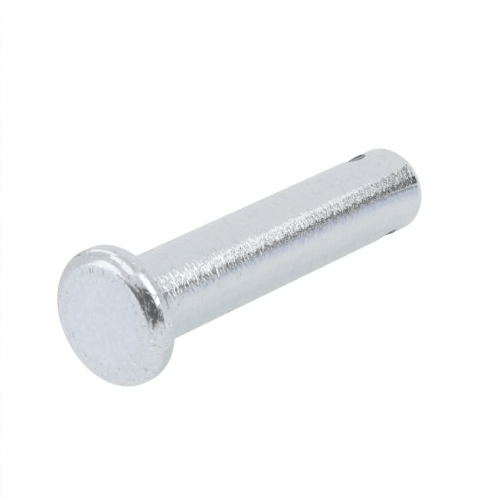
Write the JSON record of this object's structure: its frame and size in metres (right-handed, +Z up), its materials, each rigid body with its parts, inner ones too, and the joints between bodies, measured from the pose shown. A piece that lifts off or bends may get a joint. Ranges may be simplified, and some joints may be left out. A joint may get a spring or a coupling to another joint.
{
  "type": "clevis pin",
  "caption": "Headed clevis pin: flat round head with soft shoulders on a plain cylindrical shank, bevelled point and a cross hole for a split cotter.",
  "frame": {"origin": "centre of the flat end face of the shank, on which the pin stands", "axes": "+Z up the pin's axis, from the end face towards the head; the cross hole runs along X"},
  "size_m": [0.022, 0.022, 0.0697],
  "materials": {
    "zinc_plate": "bright clear zinc plate, satin, with fine dents from tumbling"
  },
  "bodies": {
    "root": {"clevis_pin": "zinc_plate"}
  },
  "joints": []
}
